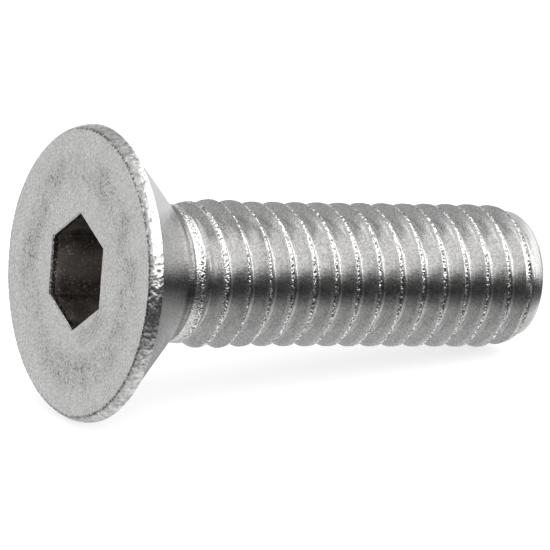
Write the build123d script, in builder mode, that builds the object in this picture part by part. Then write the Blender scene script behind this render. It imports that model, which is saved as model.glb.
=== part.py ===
from build123d import *
from math import atan2, ceil, cos, radians, sin, tan
import os

# Countersunk hexagon socket screw, M6 x 20, lying on its side. Millimetres and degrees.

# Head
length = 20.0  # from the flat of the head to the point
head_diameter = 11.7  # across the rim
countersink_angle = 90.0  # included angle under the head
rim_height = 0.55  # straight land round the head
rim_chamfer = 0.2  # rim to the flat of the head

# Neck and thread
neck_diameter = 5.4  # of the blank, before its thread was rolled
neck_length = 0.75  # left plain between the countersink and the thread
thread_diameter = 5.8  # over the crests, just under the nominal 6
pitch = 1.0
flank_angle = 60.0  # included angle between two flanks
run_out = 1.0  # over which the first crest rises to its full height
point_chamfer = 0.5  # at 45 degrees, over the last crest

# Hexagon socket
socket_across_flats = 4.0
socket_depth = 2.5  # to the end of the flats
socket_turn = -6.9  # of a corner, round the axis from the top
tip_diameter = 3.7  # mouth of the cone that the punch leaves below the flats
tip_angle = 120.0
mouth_chamfer = 0.04

# Thread form: a sharp V with an eighth of the pitch left on the crest and 17/24 of its height used
half_flank = radians(flank_angle / 2)
thread_depth = pitch / 2 / tan(half_flank) * 17 / 24
half_crest = pitch / 16
foot_sink = thread_depth / 6  # of the ridge into the core, so that the two fuse
half_foot = half_crest + (thread_depth + foot_sink) * tan(half_flank)

# Radii, and stations along the axis from the flat of the head
head_radius = head_diameter / 2
neck_radius = neck_diameter / 2
crest_radius = thread_diameter / 2
root_radius = crest_radius - thread_depth
tip_radius = tip_diameter / 2
clear_radius = crest_radius + pitch / 4
neck_start = rim_height + (head_radius - neck_radius) / tan(radians(countersink_angle / 2))
neck_end = neck_start + neck_length
thread_start = neck_end - pitch / 2
full_crest = neck_end + run_out
tip_end = socket_depth + tip_radius / tan(radians(tip_angle / 2))

# The helix is drawn in two lengths of whole turns, the second running on past the point
turns = ceil((length + pitch - thread_start) / pitch / 2)

# The screw rests on the back edge of its rim and on its last full crest
tilt = atan2(head_radius - crest_radius, length - point_chamfer - rim_height)
towards_point = Vector(cos(tilt), 0, -sin(tilt))
towards_top = Vector(sin(tilt), 0, cos(tilt))
screw_axis = Axis((0, 0, 0), towards_point)
half_section = Plane(origin=(0, 0, 0), x_dir=towards_point, z_dir=towards_top)
head_face = Plane(origin=(0, 0, 0), x_dir=towards_top, z_dir=towards_point)

with BuildPart() as screw:
    # One right-handed ridge winds from inside the neck to past the point
    with BuildLine() as thread_path:
        for start in (thread_start, thread_start + turns * pitch):
            Helix(
                pitch=pitch,
                height=turns * pitch,
                radius=root_radius,
                center=towards_point * start,
                direction=towards_point,
            )
    path = thread_path.wire()
    with BuildSketch(Plane(origin=path @ 0, x_dir=towards_top, z_dir=path % 0)):
        with BuildLine():
            Polyline(
                (-foot_sink, -half_foot),
                (thread_depth, -half_crest),
                (thread_depth, half_crest),
                (-foot_sink, half_foot),
                close=True,
            )
        make_face()
    sweep(path=path, is_frenet=True, clean=False)

    # Its envelope: the first crest rises out of the neck, and the point is square and chamfered
    with BuildSketch(half_section):
        with BuildLine():
            Polyline(
                (neck_end, 0),
                (neck_end, root_radius),
                (full_crest, crest_radius),
                (full_crest + pitch, clear_radius),
                (length - point_chamfer - pitch / 4, clear_radius),
                (length, crest_radius - point_chamfer),
                (length, 0),
                close=True,
            )
        make_face()
    revolve(axis=screw_axis, mode=Mode.INTERSECT)

    # The turned body: head, countersink, neck, run-out and core
    with BuildSketch(half_section) as body:
        with BuildLine():
            Polyline(
                (0, 0),
                (0, head_radius),
                (rim_height, head_radius),
                (neck_start, neck_radius),
                (neck_end, neck_radius),
                (neck_end + pitch / 2, root_radius),
                (length, root_radius),
                (length, 0),
                close=True,
            )
        make_face()
        chamfer(body.vertices().group_by(Axis.Y)[-1].sort_by(Axis.X)[0], rim_chamfer)
    revolve(axis=screw_axis)

    # Hexagon socket, with the cone that its punch leaves and a broken edge at its mouth
    with BuildSketch(head_face):
        RegularPolygon(socket_across_flats / 2, 6, major_radius=False, rotation=socket_turn)
    extrude(amount=socket_depth, mode=Mode.SUBTRACT)
    with BuildSketch(half_section):
        with BuildLine():
            Polyline((socket_depth, 0), (socket_depth, tip_radius), (tip_end, 0), close=True)
        make_face()
    revolve(axis=screw_axis, mode=Mode.SUBTRACT)
    mouth = screw.edges().filter_by(GeomType.LINE).group_by(screw_axis)[0]
    chamfer(mouth, mouth_chamfer)

screw.part.label = "screw"
os.makedirs("parts", exist_ok=True)
export_step(screw.part, "parts/screw.step")
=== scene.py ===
from math import cos, pi, radians, sin, tan

import bpy
from mathutils import Matrix, Vector


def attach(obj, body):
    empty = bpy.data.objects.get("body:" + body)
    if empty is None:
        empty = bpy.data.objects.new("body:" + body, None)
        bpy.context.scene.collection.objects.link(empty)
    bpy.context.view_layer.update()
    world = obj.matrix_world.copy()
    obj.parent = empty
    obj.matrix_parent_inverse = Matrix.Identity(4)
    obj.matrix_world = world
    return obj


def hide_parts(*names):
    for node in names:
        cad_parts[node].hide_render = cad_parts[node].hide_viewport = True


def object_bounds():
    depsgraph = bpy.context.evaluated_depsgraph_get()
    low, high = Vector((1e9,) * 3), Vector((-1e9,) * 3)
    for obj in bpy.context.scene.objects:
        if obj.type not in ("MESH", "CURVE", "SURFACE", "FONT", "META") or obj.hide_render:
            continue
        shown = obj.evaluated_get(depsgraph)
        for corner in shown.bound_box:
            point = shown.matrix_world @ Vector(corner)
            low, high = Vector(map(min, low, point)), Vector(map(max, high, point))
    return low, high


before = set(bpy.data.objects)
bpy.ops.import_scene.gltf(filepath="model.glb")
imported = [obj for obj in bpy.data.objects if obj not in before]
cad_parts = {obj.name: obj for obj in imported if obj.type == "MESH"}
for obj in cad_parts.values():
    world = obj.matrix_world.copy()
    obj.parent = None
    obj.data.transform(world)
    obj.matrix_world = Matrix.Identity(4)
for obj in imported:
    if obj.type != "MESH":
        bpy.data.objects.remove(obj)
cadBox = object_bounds()
print("frame loaded")

mm = 0.001
perMm = 1000.0  # to write a length in metres as millimetres


# Small helpers for node trees

def addNode(tree, kind, *values, **settings):
    node = tree.nodes.new(kind)
    for name, value in settings.items():
        setattr(node, name, value)
    sockets = [s for s in node.inputs if s.enabled]
    for socket, value in zip(sockets, values):
        if isinstance(value, bpy.types.NodeSocket):
            tree.links.new(value, socket)
        elif value is not None:
            socket.default_value = value
    return node


def pick(node):
    return next(s for s in node.outputs if s.enabled)


def calc(tree, operation, *values):
    return addNode(tree, "ShaderNodeMath", *values, operation=operation).outputs[0]


def ramp(tree, value, low, high, lowResult=0.0, highResult=1.0, easing="LINEAR"):
    node = addNode(
        tree, "ShaderNodeMapRange", value, low, high, lowResult, highResult,
        interpolation_type=easing, clamp=True,
    )
    return node.outputs[0]


def fade(tree, value, start, end):
    return ramp(tree, value, start, end, 1.0, 0.0)


def band(tree, value, start, full, stillFull, end):
    return calc(tree, "MULTIPLY", ramp(tree, value, start, full), fade(tree, value, stillFull, end))


def mixed(tree, factor, low, high, kind="FLOAT"):
    return pick(addNode(tree, "ShaderNodeMix", factor, low, high, data_type=kind))


def noise(tree, vector, scale, detail=2.0, roughness=0.5, seed=0.0):
    node = addNode(tree, "ShaderNodeTexNoise", noise_dimensions="4D")
    tree.links.new(vector, node.inputs["Vector"])
    for name, value in (("W", seed), ("Scale", scale), ("Detail", detail), ("Roughness", roughness)):
        if isinstance(value, bpy.types.NodeSocket):
            tree.links.new(value, node.inputs[name])
        else:
            node.inputs[name].default_value = value
    return node.outputs[0]


# The screw: one sheet of rows and columns, wound round the axis

screwPlan = {
    "sizes": {  # mm
        "Length": 19.96,
        "Head Diameter": 11.73,
        "Face Diameter": 11.28,
        "Rim Height": 0.56,
        "Rim Step": 0.08,  # by which the rim stands out over the cone
        "Head Flat": 0.08,  # worn off one side of the rim
        "Neck Diameter": 5.46,
        "Neck Groove": 0.12,  # between the cone and the rolled neck
        "Pitch": 1.0,
        "Thread Diameter": 5.79,
        "Crest Wear": 0.04,
        "First Turn Swell": 0.035,
        "Point Taper": 0.15,
        "Root Diameter": 4.6,
        "First Crest": 3.87,  # from the flat of the head, straight above the axis
        "Point Diameter": 4.84,
        "Across Flats": 4.0,
        "Socket Depth": 2.5,
        "Tip Diameter": 3.7,
        "Mouth Chamfer": 0.05,
        "Socket Shift": 0.15,  # of the punch, to the far side of the head
    },
    "angles": {"Socket Turn": -6.9, "Tilt": 8.848},  # degrees
    "counts": {"Columns": 240, "Rows Per Turn": 16, "Seed": 7},

    # Finishes: colours, roughness, grain in mm, and places in mm along the axis or out from it
    "headSteel": {
        "light": (0.76, 0.755, 0.75), "dark": (0.36, 0.357, 0.354), "nearBlack": (0.06, 0.059, 0.058),
        "faceRough": 0.38, "roughSpread": 0.06, "rimRough": 0.25, "coneRough": 0.16,
        "skinSize": 0.085, "pitSize": 0.19, "fleckSize": 0.1, "stainSize": 1.3, "relief": 0.02,
        "faceEnd": (0.002, 0.02), "rim": (0.002, 0.04, 0.55, 0.57), "coneStart": (0.55, 0.57),
        "dirtEnd": (0.12, 0.2),
        "ring": (3.1, 3.6, 4.3, 4.8), "edge": (5.57, 5.62, 5.67, 5.72),
        "scores": (2.25, 2.4, 2.75, 3.0), "scoreCount": 42.0, "scoreWander": 5.0,
    },
    "threadSteel": {
        "light": (0.68, 0.676, 0.672), "dark": (0.31, 0.308, 0.305), "nearBlack": (0.045, 0.044, 0.043),
        "burnishedHighlight": (0.93, 0.925, 0.92),
        "flankRough": 0.19, "roughSpread": 0.05, "endRough": 0.5,
        "skinSize": 0.06, "pitSize": 0.085, "brightSize": 0.1, "stainSize": 0.8, "relief": 0.02,
        "streaksOut": 14.0, "streaksRound": 700.0,
        "creaseEnd": (3.76, 3.84), "neckEnd": (3.95, 4.35),
        "point": (19.3, 19.45), "pointOut": (2.3, 2.45), "endFace": (19.9, 19.94),
    },
    "socketSteel": {
        "light": (0.48, 0.44, 0.41), "dark": (0.12, 0.108, 0.1),
        "glint": (0.9, 0.89, 0.88), "torn": (0.035, 0.032, 0.03),
        "rough": 0.4, "roughSpread": 0.15,
        "skinSize": 0.1, "fleckSize": 0.09, "stainSize": 0.9, "relief": 0.015,
        "wallEnd": (2.4, 2.48), "tornEnd": (0.27, 0.24), "highlightLine": (0.25, 0.27, 0.29, 0.31),
        "mouthEnd": (0.06, 0.04),
    },
}


def buildScrewTree(materials):
    tree = bpy.data.node_groups.new("screw", "GeometryNodeTree")
    tree.interface.new_socket("Mesh", in_out="INPUT", socket_type="NodeSocketGeometry")
    for name in screwPlan["counts"]:
        tree.interface.new_socket(name, in_out="INPUT", socket_type="NodeSocketInt")
    for name in (*screwPlan["sizes"], *screwPlan["angles"]):
        tree.interface.new_socket(name, in_out="INPUT", socket_type="NodeSocketFloat")
    for name in materials:
        tree.interface.new_socket(name, in_out="INPUT", socket_type="NodeSocketMaterial")
    tree.interface.new_socket("Mesh", in_out="OUTPUT", socket_type="NodeSocketGeometry")
    given = addNode(tree, "NodeGroupInput").outputs

    def do(operation, *values):
        return calc(tree, operation, *values)

    def compare(operation, value, limit):
        return addNode(tree, "FunctionNodeCompare", value, limit, data_type="FLOAT", operation=operation)

    def smooth(value, low, high, lowResult=0.0, highResult=1.0):
        return ramp(tree, value, low, high, lowResult, highResult, "SMOOTHSTEP")

    # Radii and stations along the axis
    edgeBreak = 0.03 * mm  # by which sharp edges are broken
    headRadius = do("MULTIPLY", given["Head Diameter"], 0.5)
    faceRadius = do("MULTIPLY", given["Face Diameter"], 0.5)
    neckRadius = do("MULTIPLY", given["Neck Diameter"], 0.5)
    crestRadius = do("MULTIPLY", given["Thread Diameter"], 0.5)
    rootRadius = do("MULTIPLY", given["Root Diameter"], 0.5)
    pointRadius = do("MULTIPLY", given["Point Diameter"], 0.5)
    flatRadius = do("MULTIPLY", given["Across Flats"], 0.5)
    tipRadius = do("MULTIPLY", given["Tip Diameter"], 0.5)
    pitch = given["Pitch"]

    tipSlope = 1 / tan(radians(60))  # of the cone that the punch leaves
    tipEnd = do("MULTIPLY_ADD", tipRadius, tipSlope, given["Socket Depth"])
    wallFoot = do("SUBTRACT", given["Socket Depth"], 0.04 * mm)
    wallTop = do("MULTIPLY", given["Mouth Chamfer"], 1.2)  # a mouth a little steeper than 45 degrees
    mouthRadius = do("ADD", flatRadius, given["Mouth Chamfer"])

    ringRadius = do("MULTIPLY", headRadius, 0.55)  # here the face's rows are round, no longer hexagons
    nearRim = do("SUBTRACT", faceRadius, edgeBreak)
    rimDrop = do("SUBTRACT", headRadius, faceRadius)
    landFoot = do("SUBTRACT", given["Rim Height"], edgeBreak)
    landFootRadius = do("SUBTRACT", headRadius, 0.025 * mm)
    coneTopRadius = do("SUBTRACT", headRadius, given["Rim Step"])

    grooveRadius = do("SUBTRACT", neckRadius, given["Neck Groove"])
    coneEnd = do("ADD", given["Rim Height"], do("SUBTRACT", coneTopRadius, grooveRadius))
    neckStart = do("MULTIPLY_ADD", given["Neck Groove"], 0.5, coneEnd)
    grooveShoulder = do("SUBTRACT", neckStart, edgeBreak / 2)
    shoulderRadius = do("SUBTRACT", neckRadius, edgeBreak)

    # the rim swells from the edge of the face to its full size: rows, share of its height, share still to go
    rimSwell = ((1, 0.08, 0.8), (2, 0.24, 0.48), (2, 0.44, 0.24), (2, 0.66, 0.08), (2, 0.86, 0.0))
    rimStations = []
    for rows, height, left in rimSwell:
        station = do("MULTIPLY", given["Rim Height"], height)
        rimStations.append((rows, station, do("MULTIPLY_ADD", rimDrop, -left, headRadius), 0.0))

    # rows, station along the axis, radius, how hexagonal: from the tip of the socket to the neck
    stations = [
        (0, tipEnd, 0.0, 0.0),
        (8, given["Socket Depth"], tipRadius, 0.0),
        (2, given["Socket Depth"], flatRadius, 1.0),
        (1, wallFoot, flatRadius, 1.0),
        (12, wallTop, flatRadius, 1.0),
        (3, 0.0, mouthRadius, 1.0),
        (8, 0.0, ringRadius, 0.0),
        (16, 0.0, nearRim, 0.0),
        (1, 0.004 * mm, faceRadius, 0.0),
        *rimStations,
        (1, landFoot, headRadius, 0.0),
        (1, given["Rim Height"], landFootRadius, 0.0),
        (1, given["Rim Height"], coneTopRadius, 0.0),
        (26, coneEnd, grooveRadius, 0.0),
        (2, grooveShoulder, shoulderRadius, 0.0),
        (1, neckStart, neckRadius, 0.0),
    ]
    mouthRow = sum(station[0] for station in stations[:5])
    neckRow = sum(station[0] for station in stations)
    endRows = 8
    perTurn = given["Rows Per Turn"]
    spareTurns = 1.25  # a turn that the seam takes up, and a margin at both ends
    startTurns = 1.125  # of these, the part before the neck
    threadTurns = do("DIVIDE", do("SUBTRACT", given["Length"], neckStart), pitch)
    threadRows = do("CEIL", do("MULTIPLY", do("ADD", threadTurns, spareTurns), perTurn))
    pointRow = do("ADD", threadRows, float(neckRow))
    lastRow = do("ADD", pointRow, float(endRows))

    grid = addNode(
        tree, "GeometryNodeMeshGrid",
        given["Columns"], lastRow,
        do("ADD", given["Columns"], 1.0), do("ADD", lastRow, 1.0),
    )
    place = addNode(tree, "ShaderNodeSeparateXYZ", addNode(tree, "GeometryNodeInputPosition").outputs[0])
    turn = do("ADD", do("DIVIDE", place.outputs["X"], given["Columns"]), 0.5)
    row = do("ADD", place.outputs["Y"], do("MULTIPLY", lastRow, 0.5))
    turned = do("DIVIDE", given["Socket Turn"], 2 * pi)
    angle = do("MULTIPLY", do("ADD", turn, turned), 2 * pi)

    # Socket, face, rim and cone: each row lies between two stations
    def stationVector(station):
        _, along, out, hexagonal = station
        return addNode(tree, "ShaderNodeCombineXYZ", along, out, hexagonal).outputs[0]

    spot = stationVector(stations[0])
    rowCount = 0
    for station in stations[1:]:
        step = ramp(tree, row, float(rowCount), float(rowCount + station[0]))
        rowCount += station[0]
        spot = mixed(tree, step, spot, stationVector(station), "VECTOR")
    headAlong, headRound, hexagonal = addNode(tree, "ShaderNodeSeparateXYZ", spot).outputs
    sixth = do("MULTIPLY", do("SUBTRACT", do("FRACT", do("MULTIPLY", turn, 6.0)), 0.5), pi / 3)
    overCorner = do("SUBTRACT", do("DIVIDE", 1.0, do("COSINE", sixth)), 1.0)
    hexFactor = do("MULTIPLY_ADD", hexagonal, overCorner, 1.0)

    # one side of the rim is worn flat; all turns are counted from a corner of the hexagon
    oppositeFlat = 0.42
    flatHalf, flatReach = 0.02, 0.13
    fromFlat = do("ABSOLUTE", do("SUBTRACT", do("FRACT", do("SUBTRACT", turn, oppositeFlat)), 0.5))
    flatShare = do("MULTIPLY", smooth(fromFlat, flatHalf, flatReach, 1.0, 0.0),
                   ramp(tree, headRound, ringRadius, headRadius))
    headOut = do("SUBTRACT", do("MULTIPLY", headRound, hexFactor),
                 do("MULTIPLY", flatShare, given["Head Flat"]))

    # Thread rows follow the helix, and lie closer together on the crest and in the root
    crowdingShare = 0.62
    rowTurns = do("SUBTRACT", do("DIVIDE", do("SUBTRACT", row, float(neckRow)), perTurn), startTurns)
    crestTurns = do("ADD", do("DIVIDE", do("SUBTRACT", given["First Crest"], neckStart), pitch), turned)
    crowding = do("SINE", do("MULTIPLY", do("SUBTRACT", rowTurns, crestTurns), 4 * pi))
    helixTurns = do("ADD", do("MULTIPLY_ADD", crowding, -crowdingShare / (4 * pi), rowTurns), turn)
    helixAlong = do("MULTIPLY_ADD", helixTurns, pitch, neckStart)
    threadAlong = do("MINIMUM", do("MAXIMUM", helixAlong, neckStart), given["Length"])

    fromCrest = do("SUBTRACT", do("DIVIDE", do("SUBTRACT", threadAlong, given["First Crest"]), pitch),
                   do("ADD", turn, turned))
    pastCrest = do("MULTIPLY", do("SUBTRACT", fromCrest, do("ROUND", fromCrest)), pitch)
    offCrest = do("ABSOLUTE", pastCrest)

    # The root deepens and the crest rises out of the neck, swells, wears down and tapers at the point
    def turnsOn(count):
        return do("MULTIPLY_ADD", pitch, count, neckStart)

    rootTurns, crestRise, wearTurns, narrowing = (0.3, 1.1), (0.45, 1.6), (2.7, 3.8), (1.0, 1.9)
    wideCrest, narrowCrest = 0.12, 0.07  # half the crest's width, in pitches
    taperTurns = 1.6
    rootBlend, crestBlend, pointBlend = 0.3 * mm, 0.05 * mm, 0.12 * mm
    swollen = do("ADD", crestRadius, given["First Turn Swell"])
    rootLevel = smooth(threadAlong, *map(turnsOn, rootTurns), neckRadius, rootRadius)
    crestLevel = smooth(threadAlong, *map(turnsOn, crestRise), neckRadius, swollen)
    wear = do("ADD", given["First Turn Swell"], given["Crest Wear"])
    crestLevel = do("SUBTRACT", crestLevel, ramp(tree, threadAlong, *map(turnsOn, wearTurns), 0.0, wear))
    taperStart = do("SUBTRACT", given["Length"], do("MULTIPLY", pitch, taperTurns))
    taper = do("POWER", ramp(tree, threadAlong, taperStart, given["Length"], 0.0, taperTurns), 2.0)
    crestLevel = do("SUBTRACT", crestLevel, do("MULTIPLY", taper, given["Point Taper"]))
    halfShare = ramp(tree, threadAlong, *map(turnsOn, narrowing), wideCrest, narrowCrest)
    halfCrest = do("MULTIPLY", pitch, halfShare)

    flankSlope = tan(radians(30))
    flank = do("SUBTRACT", crestRadius, do("DIVIDE", do("SUBTRACT", offCrest, halfCrest), flankSlope))
    grooved = do("SMOOTH_MAX", flank, rootLevel, rootBlend)
    ridged = do("SMOOTH_MIN", grooved, crestLevel, crestBlend)
    toPoint = do("ADD", do("SUBTRACT", given["Length"], threadAlong), pointRadius)
    pointed = do("SMOOTH_MIN", ridged, toPoint, pointBlend)
    threadOut = do("MULTIPLY", pointed, fade(tree, row, pointRow, lastRow))

    inThread = compare("GREATER_THAN", row, neckRow - 0.5).outputs[0]
    along = pick(addNode(tree, "GeometryNodeSwitch", inThread, headAlong, threadAlong, input_type="FLOAT"))
    out = pick(addNode(tree, "GeometryNodeSwitch", inThread, headOut, threadOut, input_type="FLOAT"))

    # Masks for the finishes: the crest, a painted shade line along the seam behind it, and what the scores
    # cover
    fromEnd = do("SUBTRACT", given["Length"], threadAlong)
    wound = do("MULTIPLY", ramp(tree, fromEnd, 0.03 * mm, 0.12 * mm), inThread)
    crestStart = ramp(tree, pastCrest, do("MULTIPLY", halfCrest, -1.0), do("MULTIPLY", halfCrest, -0.5))
    crestStop = fade(tree, pastCrest, halfCrest, do("ADD", halfCrest, 0.05 * mm))
    crest = do("MULTIPLY", do("MULTIPLY", crestStart, crestStop), wound)
    behind = do("SUBTRACT", pastCrest, halfCrest)
    # painted shade: a dark band on the tail side of each crest, just past its flat
    seamShade = do("MULTIPLY", band(tree, behind, -0.025 * mm, 0.005 * mm, 0.02 * mm, 0.05 * mm), wound)
    corner = do("DIVIDE", do("ABSOLUTE", sixth), pi / 6)
    scuffed = band(tree, turn, 0.30, 0.37, 0.45, 0.50)  # in turns, round one corner of the hexagon

    shiftShare = do("MULTIPLY", ramp(tree, headRound, ringRadius, mouthRadius),
                    do("SUBTRACT", 1.0, inThread))
    across = do("SUBTRACT", do("MULTIPLY", shiftShare, given["Socket Shift"]),
                do("MULTIPLY", do("SINE", angle), out))
    up = do("MULTIPLY", do("COSINE", angle), out)
    laid = addNode(tree, "ShaderNodeCombineXYZ", along, across, up).outputs[0]

    # zone 0 is the socket, 1 the head and 2 the thread
    zone = do("ADD", compare("GREATER_THAN", row, mouthRow - 0.01).outputs[0], inThread)
    mesh = grid.outputs["Mesh"]
    for name, value, domain in (
        ("zone", zone, "FACE"),
        ("along", do("MULTIPLY", along, perMm), "POINT"),
        ("out", do("MULTIPLY", out, perMm), "POINT"),
        ("offCrest", do("MULTIPLY", offCrest, perMm), "POINT"),
        ("crest", crest, "POINT"),
        ("seamShade", seamShade, "POINT"),
        ("corner", corner, "POINT"),
        ("scuffed", scuffed, "POINT"),
    ):
        stored = addNode(tree, "GeometryNodeStoreNamedAttribute", mesh, None, name, value,
                         data_type="FLOAT", domain=domain)
        mesh = stored.outputs[0]
    mesh = addNode(tree, "GeometryNodeSetPosition", mesh, None, laid).outputs[0]
    mergeDistance = 0.0002 * mm
    mesh = addNode(tree, "GeometryNodeMergeByDistance", mesh, None, mergeDistance).outputs[0]

    # Rolled crests are ragged, and the whole skin waves a little
    ragDepth, waveDepth = 0.05 * mm, 0.018 * mm
    ragScale, waveScale = 5200.0, 900.0
    here = addNode(tree, "GeometryNodeInputPosition").outputs[0]
    outward = addNode(tree, "GeometryNodeInputNormal").outputs[0]
    crestRead = addNode(tree, "GeometryNodeInputNamedAttribute", "crest", data_type="FLOAT").outputs[0]
    rag = noise(tree, here, ragScale, 2.0, 0.6, given["Seed"])
    wave = noise(tree, here, waveScale, 2.0, 0.5, given["Seed"])
    ragged = do("MULTIPLY", do("SUBTRACT", rag, 0.5), ragDepth)
    waving = do("MULTIPLY", do("SUBTRACT", wave, 0.5), waveDepth)
    crestShare, restShare = 0.9, 0.06  # of the rag, added on the crests and kept everywhere
    ragShare = do("MULTIPLY_ADD", crestRead, crestShare, restShare)
    lift = do("ADD", do("MULTIPLY", ragged, ragShare), waving)
    offset = addNode(tree, "ShaderNodeVectorMath", outward, operation="SCALE")
    tree.links.new(lift, offset.inputs["Scale"])
    mesh = addNode(tree, "GeometryNodeSetPosition", mesh, None, None, offset.outputs[0]).outputs[0]

    # Lay it at the angle at which it rests
    tilted = addNode(tree, "ShaderNodeCombineXYZ", 0.0, given["Tilt"], 0.0).outputs[0]
    mesh = addNode(tree, "GeometryNodeTransform", mesh, None, tilted).outputs[0]

    sharpAngle = radians(38)
    bend = addNode(tree, "GeometryNodeInputMeshEdgeAngle").outputs["Unsigned Angle"]
    sharp = compare("GREATER_THAN", bend, sharpAngle).outputs[0]
    mesh = addNode(tree, "GeometryNodeSetShadeSmooth", mesh, sharp, False, domain="EDGE").outputs[0]
    mesh = addNode(tree, "GeometryNodeRealizeInstances", mesh).outputs[0]
    zoneRead = addNode(tree, "GeometryNodeInputNamedAttribute", "zone", data_type="FLOAT").outputs[0]
    for number, name in enumerate(materials):
        chosen = compare("EQUAL", zoneRead, float(number))
        chosen.inputs["Epsilon"].default_value = 0.3  # zones are whole numbers
        mesh = addNode(tree, "GeometryNodeSetMaterial", mesh, chosen.outputs[0], given[name]).outputs[0]
    addNode(tree, "NodeGroupOutput", mesh)
    return tree


# Effects that the steels share

def newGroup(name, wanted, made):
    tree = bpy.data.node_groups.new(name, "ShaderNodeTree")
    for label, value in wanted.items():
        socket = tree.interface.new_socket(label, in_out="INPUT", socket_type="NodeSocketFloat")
        socket.default_value = value
    for label in made:
        tree.interface.new_socket(label, in_out="OUTPUT", socket_type="NodeSocketFloat")
    return tree, addNode(tree, "NodeGroupInput").outputs


def placeGroup(tree, group, **values):
    node = addNode(tree, "ShaderNodeGroup", node_tree=group)
    for label, value in values.items():
        node.inputs[label].default_value = value
    return node.outputs


def makeGrain():
    # pitted skin of cold-formed steel: Size in mm, Speckle is the tone and Height the relief
    tree, given = newGroup("steelGrain", {"Size": 0.1, "Detail": 1.0, "Seed": 1.0}, ("Speckle", "Height"))
    place = addNode(tree, "ShaderNodeTexCoord").outputs["Object"]
    fineScale = calc(tree, "DIVIDE", perMm, given["Size"])
    fine = noise(tree, place, fineScale, given["Detail"], 0.5, given["Seed"])
    broad = noise(tree, place, calc(tree, "MULTIPLY", fineScale, 0.3), 2.0, 0.5, given["Seed"])
    cloudy = calc(tree, "MULTIPLY_ADD", broad, 0.1, calc(tree, "MULTIPLY", fine, 0.9))
    height = calc(tree, "MULTIPLY_ADD", broad, 0.3, fine)
    addNode(tree, "NodeGroupOutput", ramp(tree, cloudy, 0.36, 0.64), height)
    return tree


def makeStains():
    # broad cloudy patches
    tree, given = newGroup("steelStains", {"Size": 1.5, "Seed": 1.0}, ("Patch",))
    place = addNode(tree, "ShaderNodeTexCoord").outputs["Object"]
    cloud = noise(tree, place, calc(tree, "DIVIDE", perMm, given["Size"]), 4.0, 0.6, given["Seed"])
    addNode(tree, "NodeGroupOutput", ramp(tree, cloud, 0.38, 0.64, easing="SMOOTHSTEP"))
    return tree


# The three steels of the screw

def newSteel(name):
    material = bpy.data.materials.new(name)
    material.use_nodes = True
    tree = material.node_tree
    shader = tree.nodes["Principled BSDF"]
    shader.inputs["Metallic"].default_value = 1.0
    return material, tree, shader


def readAttribute(tree, name):
    return addNode(tree, "ShaderNodeAttribute", attribute_name=name).outputs["Fac"]


def tint(tree, value, dark, light):
    return mixed(tree, value, (*dark, 1), (*light, 1), "RGBA")


def cover(tree, mask, colour, coat):
    return mixed(tree, mask, colour, (*coat, 1), "RGBA")


def relief(tree, shader, height, depth):
    bump = addNode(tree, "ShaderNodeBump")
    bump.inputs["Strength"].default_value = 1.0
    bump.inputs["Distance"].default_value = depth * mm
    tree.links.new(height, bump.inputs["Height"])
    tree.links.new(bump.outputs[0], shader.inputs["Normal"])


def makeHeadSteel(grain, stains):
    look = screwPlan["headSteel"]
    material, tree, shader = newSteel("headSteel")

    def do(operation, *values):
        return calc(tree, operation, *values)

    along, out = readAttribute(tree, "along"), readAttribute(tree, "out")
    onFace = fade(tree, along, *look["faceEnd"])
    onRim = band(tree, along, *look["rim"])
    onCone = ramp(tree, along, *look["coneStart"])
    skin = placeGroup(tree, grain, Size=look["skinSize"], Detail=2.0, Seed=3.0)
    pits = placeGroup(tree, grain, Size=look["pitSize"], Detail=1.0, Seed=5.0)
    flecks = placeGroup(tree, grain, Size=look["fleckSize"], Detail=1.0, Seed=31.0)["Speckle"]
    patch = placeGroup(tree, stains, Size=look["stainSize"], Seed=2.0)["Patch"]

    # the punch leaves a darker ring half way out, and scores beside one corner of the hexagon
    ring = do("MULTIPLY", band(tree, out, *look["ring"]), do("MULTIPLY_ADD", patch, 0.7, 0.3))
    faceTone = do("SUBTRACT", do("MULTIPLY_ADD", skin["Speckle"], 0.6, 0.38), do("MULTIPLY", ring, 0.28))
    rimTone = do("MULTIPLY_ADD", pits["Speckle"], 0.8, 0.1)
    coneTone = do("MULTIPLY_ADD", skin["Speckle"], 0.35, 0.22)
    tone = mixed(tree, onCone, mixed(tree, onFace, rimTone, faceTone), coneTone)
    colour = tint(tree, tone, look["dark"], look["light"])

    # specks of dirt on the face, more of them in the ring and round its edge
    faceDirt = do("MULTIPLY", do("MULTIPLY_ADD", ring, 0.5, 0.12), ramp(tree, flecks, 0.3, 0.12))
    edgeDirt = do("MULTIPLY", band(tree, out, *look["edge"]), ramp(tree, flecks, 0.75, 0.35))
    darkMarks = do("MAXIMUM", faceDirt, do("MULTIPLY", edgeDirt, 0.8))
    darkMarks = do("MULTIPLY", darkMarks, fade(tree, along, *look["dirtEnd"]))
    tree.links.new(cover(tree, darkMarks, colour, look["nearBlack"]), shader.inputs["Base Color"])

    faceRough = do("MULTIPLY_ADD", patch, look["roughSpread"], look["faceRough"])
    rough = mixed(tree, onCone, mixed(tree, onFace, look["rimRough"], faceRough), look["coneRough"])
    tree.links.new(rough, shader.inputs["Roughness"])

    scored = do("MULTIPLY", readAttribute(tree, "scuffed"), band(tree, out, *look["scores"]))
    wander = do("MULTIPLY", patch, look["scoreWander"])
    score = do("SINE", do("MULTIPLY_ADD", out, look["scoreCount"], wander))
    score = do("MULTIPLY", do("MULTIPLY", score, scored), do("MULTIPLY", onFace, 0.9))
    height = do("MULTIPLY", skin["Height"], mixed(tree, onCone, 1.5, 0.6))
    height = mixed(tree, onRim, height, do("MULTIPLY", pits["Height"], 2.4))
    relief(tree, shader, do("ADD", height, score), look["relief"])
    return material


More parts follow.
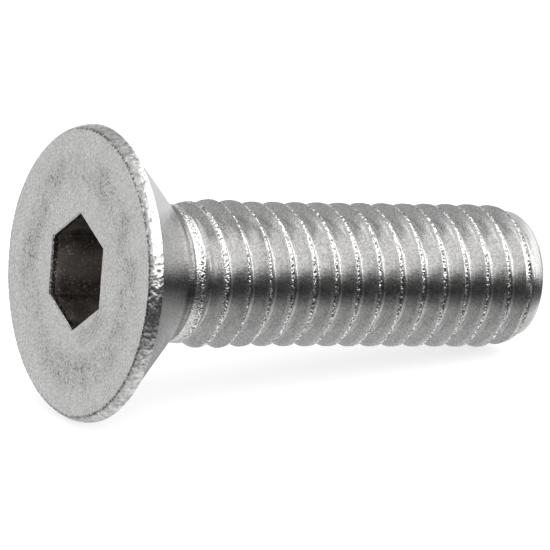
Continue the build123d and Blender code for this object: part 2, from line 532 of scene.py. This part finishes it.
def makeThreadSteel(grain, stains):
    look = screwPlan["threadSteel"]
    material, tree, shader = newSteel("threadSteel")

    def do(operation, *values):
        return calc(tree, operation, *values)

    along, out = readAttribute(tree, "along"), readAttribute(tree, "out")
    offCrest, crest = readAttribute(tree, "offCrest"), readAttribute(tree, "crest")
    skin = placeGroup(tree, grain, Size=look["skinSize"], Detail=1.0, Seed=8.0)
    pits = placeGroup(tree, grain, Size=look["pitSize"], Detail=0.5, Seed=11.0)
    bright = placeGroup(tree, grain, Size=look["brightSize"], Detail=0.5, Seed=17.0)["Speckle"]
    patch = placeGroup(tree, stains, Size=look["stainSize"], Seed=4.0)["Patch"]

    # rolling draws fine streaks out along the helix
    place = addNode(tree, "ShaderNodeTexCoord").outputs["Object"]
    _, across, up = addNode(tree, "ShaderNodeSeparateXYZ", place).outputs
    drawn = addNode(tree, "ShaderNodeCombineXYZ", do("MULTIPLY", offCrest, look["streaksOut"]),
                    do("MULTIPLY", across, look["streaksRound"]), do("MULTIPLY", up, look["streaksRound"]))
    streak = noise(tree, drawn.outputs[0], 1.0, 3.0, 0.6, 2.0)
    tone = do("ADD", do("MULTIPLY_ADD", skin["Speckle"], 0.6, do("MULTIPLY", streak, 0.25)), 0.11)
    colour = tint(tree, tone, look["dark"], look["light"])

    # crests and neck are burnished and carry painted highlight speckles in a near-white colour, the point is
    # painted near white as a highlight, and dirt stays in the crests' pits
    neck = fade(tree, along, *look["neckEnd"])
    wearAndHighlight = do("MAXIMUM", crest, do("MULTIPLY", neck, 0.5))
    # painted highlight: the outer part of the point's chamfer is painted near white
    point = do("MULTIPLY", ramp(tree, along, *look["point"]), ramp(tree, out, *look["pointOut"]))
    burnishAndHighlight = do("MAXIMUM", do("MULTIPLY", wearAndHighlight, ramp(tree, bright, 0.42, 0.66)), do("MULTIPLY", point, 0.9))
    colour = cover(tree, burnishAndHighlight, colour, look["burnishedHighlight"])
    crestDirt = do("MULTIPLY", do("MULTIPLY", crest, 0.8), ramp(tree, pits["Speckle"], 0.4, 0.28))
    # painted shade: near-black specks along the seam behind each crest
    seamShadeSpecks = do("MULTIPLY", readAttribute(tree, "seamShade"), ramp(tree, pits["Speckle"], 0.6, 0.36))
    # darker speckled line along the crease at the foot of the neck
    crease = fade(tree, along, *look["creaseEnd"])
    creaseDarkening = do("MULTIPLY", crease, ramp(tree, pits["Speckle"], 0.8, 0.55))
    # dark marks: dirt in the crests' pits, the painted shade on the seams, and the darker crease at the neck
    darkMarks = do("MAXIMUM", do("MAXIMUM", crestDirt, seamShadeSpecks), creaseDarkening)
    tree.links.new(cover(tree, darkMarks, colour, look["nearBlack"]), shader.inputs["Base Color"])

    rough = do("MULTIPLY_ADD", patch, look["roughSpread"], look["flankRough"])
    rough = mixed(tree, ramp(tree, along, *look["endFace"]), rough, look["endRough"])
    tree.links.new(rough, shader.inputs["Roughness"])
    height = do("MULTIPLY_ADD", streak, 0.04, do("MULTIPLY", skin["Height"], 0.25))
    height = mixed(tree, wearAndHighlight, height, do("MULTIPLY", pits["Height"], 2.0))
    relief(tree, shader, height, look["relief"])
    return material


def makeSocketSteel(grain, stains):
    look = screwPlan["socketSteel"]
    material, tree, shader = newSteel("socketSteel")

    def do(operation, *values):
        return calc(tree, operation, *values)

    along, corner = readAttribute(tree, "along"), readAttribute(tree, "corner")
    skin = placeGroup(tree, grain, Size=look["skinSize"], Detail=2.0, Seed=14.0)
    flecks = placeGroup(tree, grain, Size=look["fleckSize"], Detail=1.0, Seed=21.0)["Speckle"]
    patch = placeGroup(tree, stains, Size=look["stainSize"], Seed=6.0)["Patch"]
    onWalls = fade(tree, along, *look["wallEnd"])

    # painted shading: each wall is lighter along its middle and darker towards its corners
    wallShading = mixed(tree, onWalls, 0.4, ramp(tree, corner, 0.85, 0.2, easing="SMOOTHSTEP"))
    tone = do("MULTIPLY_ADD", skin["Speckle"], 0.25, do("MULTIPLY", patch, 0.3))
    colour = tint(tree, do("MULTIPLY_ADD", wallShading, 0.55, tone), look["dark"], look["light"])

    # the punch tears the first quarter millimetre; painted highlight lines run below it and along the
    # corners, and painted glints sit on bright flecks and round the mouth
    torn = do("MULTIPLY", ramp(tree, along, *look["tornEnd"]), ramp(tree, flecks, 0.75, 0.5))
    colour = cover(tree, do("MULTIPLY", torn, 0.8), colour, look["torn"])
    cornerHighlight = do("MULTIPLY", onWalls, ramp(tree, corner, 0.95, 1.0))
    highlightLine = do("MAXIMUM", band(tree, along, *look["highlightLine"]), cornerHighlight)
    glint = do("MAXIMUM", do("MULTIPLY", highlightLine, 0.22), do("MULTIPLY", ramp(tree, flecks, 0.88, 0.97), 0.5))
    mouthGlint = do("MULTIPLY", ramp(tree, along, *look["mouthEnd"]), ramp(tree, flecks, 0.25, 0.5))
    colour = cover(tree, do("MAXIMUM", glint, mouthGlint), colour, look["glint"])
    tree.links.new(colour, shader.inputs["Base Color"])
    tree.links.new(do("MULTIPLY_ADD", patch, look["roughSpread"], look["rough"]), shader.inputs["Roughness"])
    relief(tree, shader, skin["Height"], look["relief"])
    return material


def makeScrew():
    grain, stains = makeGrain(), makeStains()
    materials = {  # in the order of the zones
        "Socket Metal": makeSocketSteel(grain, stains),
        "Head Metal": makeHeadSteel(grain, stains),
        "Thread Metal": makeThreadSteel(grain, stains),
    }
    print("steels made,", len(materials))
    tree = buildScrewTree(materials)
    screw = bpy.data.objects.new("screwWound", bpy.data.meshes.new("screwWound"))
    bpy.context.scene.collection.objects.link(screw)
    modifier = screw.modifiers.new("screw", "NODES")
    modifier.node_group = tree
    values = dict(screwPlan["counts"])
    values.update({name: size * mm for name, size in screwPlan["sizes"].items()})
    values.update({name: radians(degrees) for name, degrees in screwPlan["angles"].items()})
    values.update(materials)
    for item in tree.interface.items_tree:
        if item.in_out == "INPUT" and item.name in values:
            modifier[item.identifier] = values[item.name]
    bpy.context.view_layer.update()
    graph = bpy.context.evaluated_depsgraph_get()
    mesh = bpy.data.meshes.new_from_object(screw.evaluated_get(graph), depsgraph=graph)
    screw.modifiers.clear()
    mesh.materials.pop(index=0)  # the sheet's own slot, which no face uses
    screw.data = mesh
    return screw


screw = makeScrew()
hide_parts("screw")
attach(screw, "root")
print("screw wound,", len(screw.data.polygons), "faces")


# Studio: white floor and backdrop, two soft lamps, and the tones of the room that the metal reflects

studio = {
    "azimuth": -29.26, "elevation": 17.06, "roll": 0.06,  # of the camera, in degrees
    "distance": 333.4, "lens": 551.8, "sensor": 36, "aim": (8.833, 0.0, -1.417),  # mm
    "floorHalf": 1.5,  # metres
    "floorColour": 0.55, "floorGlow": 0.68, "roomGlow": 0.6,
    "lamps": {  # azimuth, elevation, distance, width and height in metres, watts
        "frontBox": (46, 47, 0.6, 1.7, 0.72, 5.6),
        "leftBox": (-98, 28, 0.6, 0.35, 0.2, 0.2),
    },
    "tones": {  # what polished metal sees on each side of the room: elevation in degrees, tone
        "back": ((-60, 0.9), (-37, 0.55), (-22, 0.9), (-9, 1.0), (3, 0.95), (12, 0.6), (50, 0.55),
                 (64, 0.95)),
        "left": ((-60, 0.8), (-36, 0.62), (-24, 0.5), (-17, 0.3), (-12, 0.06), (-5, 0.0), (3, 0.02),
                 (7, 0.22), (13, 0.66), (19, 0.92), (26, 1.0)),
        "front": ((-60, 1.0), (-53, 1.0), (-47, 0.6), (-40, 0.4), (-34, 0.26), (-28, 0.1), (-20, 0.05),
                  (-4, 0.06), (3, 0.25), (12, 0.65), (19, 1.0)),
        "right": ((-60, 1.0), (-45, 0.6), (-30, 0.3), (0, 0.3), (20, 0.4), (35, 0.7), (45, 1.0)),
        "corner": ((-60, 0.9), (-27, 0.8), (-23, 0.35), (-20, 0.05), (-17, 0.08), (-14, 0.7), (-8, 1.0),
                   (2, 0.9), (10, 0.6), (50, 0.55), (64, 0.95)),
    },
    "sides": (  # each side, and the azimuths between which it takes over from the one before
        ("left", -136, -112), ("front", -75, -10), ("right", 66, 84), ("corner", 104, 116),
        ("back", 140, 158),
    ),
}


def towards(azimuth, elevation):
    around, above = radians(azimuth), radians(elevation)
    return Vector((sin(around) * cos(above), -cos(around) * cos(above), sin(above)))


def makeCamera():
    data = bpy.data.cameras.new("camera")
    data.lens = studio["lens"]
    data.sensor_width = studio["sensor"]
    data.clip_start = 0.01
    data.clip_end = 20
    camera = bpy.data.objects.new("camera", data)
    bpy.context.scene.collection.objects.link(camera)
    aim = Vector(studio["aim"]) * mm
    away = towards(studio["azimuth"], studio["elevation"])
    facing = (-away).to_track_quat("-Z", "Y").to_matrix().to_4x4()
    rolled = Matrix.Rotation(radians(studio["roll"]), 4, "Z")
    camera.matrix_world = Matrix.Translation(aim + away * studio["distance"] * mm) @ facing @ rolled
    bpy.context.scene.camera = camera


def showsWhite(tree):
    # 1 for the camera, and for what metal and glass show of the background
    path = addNode(tree, "ShaderNodeLightPath").outputs
    seen = calc(tree, "MAXIMUM", path["Is Camera Ray"], path["Is Glossy Ray"])
    return calc(tree, "MAXIMUM", seen, path["Is Transmission Ray"])


def makeFloor():
    half, level = studio["floorHalf"], cadBox[0][2]
    corners = [(x * half, y * half, level) for x, y in ((-1, -1), (1, -1), (1, 1), (-1, 1))]
    mesh = bpy.data.meshes.new("floor")
    mesh.from_pydata(corners, [], [(0, 1, 2, 3)])
    floor = bpy.data.objects.new("floor", mesh)
    bpy.context.scene.collection.objects.link(floor)
    material = bpy.data.materials.new("floorPaint")
    material.use_nodes = True
    tree = material.node_tree
    shader = tree.nodes["Principled BSDF"]
    tone = studio["floorColour"]
    shader.inputs["Base Color"].default_value = (tone, tone, tone, 1)
    shader.inputs["Roughness"].default_value = 0.9
    shader.inputs["Specular IOR Level"].default_value = 0.0
    shader.inputs["Emission Color"].default_value = (1, 1, 1, 1)
    glow = calc(tree, "MULTIPLY", showsWhite(tree), studio["floorGlow"])
    tree.links.new(glow, shader.inputs["Emission Strength"])
    mesh.materials.append(material)
    floor.visible_glossy = False  # the room's tones stand for it in the metal


def makeRoom():
    world = bpy.data.worlds.new("studio")
    bpy.context.scene.world = world
    world.use_nodes = True
    tree = world.node_tree
    way = addNode(tree, "ShaderNodeSeparateXYZ", addNode(tree, "ShaderNodeTexCoord").outputs["Generated"])
    height = calc(tree, "MULTIPLY_ADD", way.outputs[2], 0.5, 0.5)
    azimuth = calc(tree, "ARCTAN2", way.outputs[0], calc(tree, "MULTIPLY", way.outputs[1], -1.0))

    def sideTone(side):
        node = addNode(tree, "ShaderNodeValToRGB", height)
        stops = node.color_ramp.elements
        for number, (elevation, tone) in enumerate(studio["tones"][side]):
            place = sin(radians(elevation)) * 0.5 + 0.5
            stop = stops[number] if number < 2 else stops.new(place)
            stop.position = place
            stop.color = (tone, tone, tone, 1)
        return node.outputs[0]

    seen = sideTone("back")
    for side, start, end in studio["sides"]:
        share = ramp(tree, azimuth, radians(start), radians(end), easing="SMOOTHSTEP")
        seen = mixed(tree, share, seen, sideTone(side), "RGBA")
    path = addNode(tree, "ShaderNodeLightPath").outputs
    colour = mixed(tree, path["Is Glossy Ray"], (1, 1, 1, 1), seen, "RGBA")
    background = tree.nodes["Background"]
    tree.links.new(colour, background.inputs["Color"])
    strength = ramp(tree, showsWhite(tree), 0.0, 1.0, studio["roomGlow"], 1.0)
    tree.links.new(strength, background.inputs["Strength"])


def makeLamp(name, azimuth, elevation, distance, width, height, power):
    data = bpy.data.lights.new(name, "AREA")
    data.shape = "RECTANGLE"
    data.size, data.size_y = width, height
    data.energy = power
    lamp = bpy.data.objects.new(name, data)
    bpy.context.scene.collection.objects.link(lamp)
    away = towards(azimuth, elevation)
    facing = away.to_track_quat("Z", "Y").to_matrix().to_4x4()
    lamp.matrix_world = Matrix.Translation(away * distance) @ facing


makeCamera()
makeFloor()
makeRoom()
for lampName, lampPlan in studio["lamps"].items():
    makeLamp(lampName, *lampPlan)
bpy.context.scene.view_settings.view_transform = "Standard"
print("studio set,", len(studio["lamps"]), "lamps")
